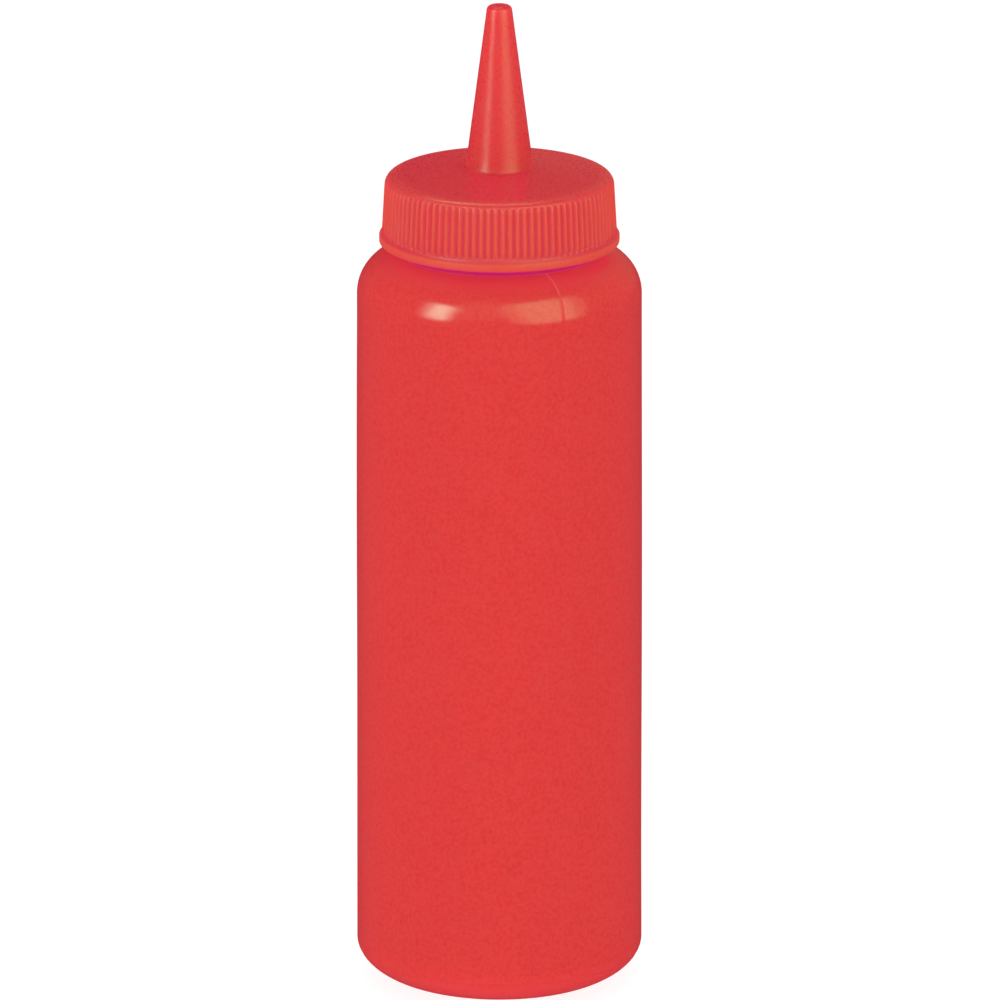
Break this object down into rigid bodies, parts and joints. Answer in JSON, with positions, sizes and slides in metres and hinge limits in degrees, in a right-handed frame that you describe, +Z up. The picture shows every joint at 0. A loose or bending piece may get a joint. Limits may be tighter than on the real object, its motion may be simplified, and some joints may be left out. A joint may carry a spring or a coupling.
{
  "type": "sauce bottle",
  "caption": "Round plastic squeeze bottle for sauce, with a straight wall and a rolled shoulder, closed by a ribbed screw cap with a tall cone nozzle.",
  "frame": {"origin": "on the table at the middle of the bottle's base", "axes": "+Z up along the bottle's axis, out through the nozzle; -Y towards the side that the picture shows"},
  "size_m": [0.051, 0.051, 0.18],
  "materials": {
    "bottle_plastic": "satin blow-moulded soft polyethylene, opaque red",
    "cap_plastic": "semi-gloss injection-moulded polyethylene, opaque red, finely ribbed skirt"
  },
  "bodies": {
    "root": {"bottle": "bottle_plastic", "cap": "cap_plastic"}
  },
  "joints": []
}
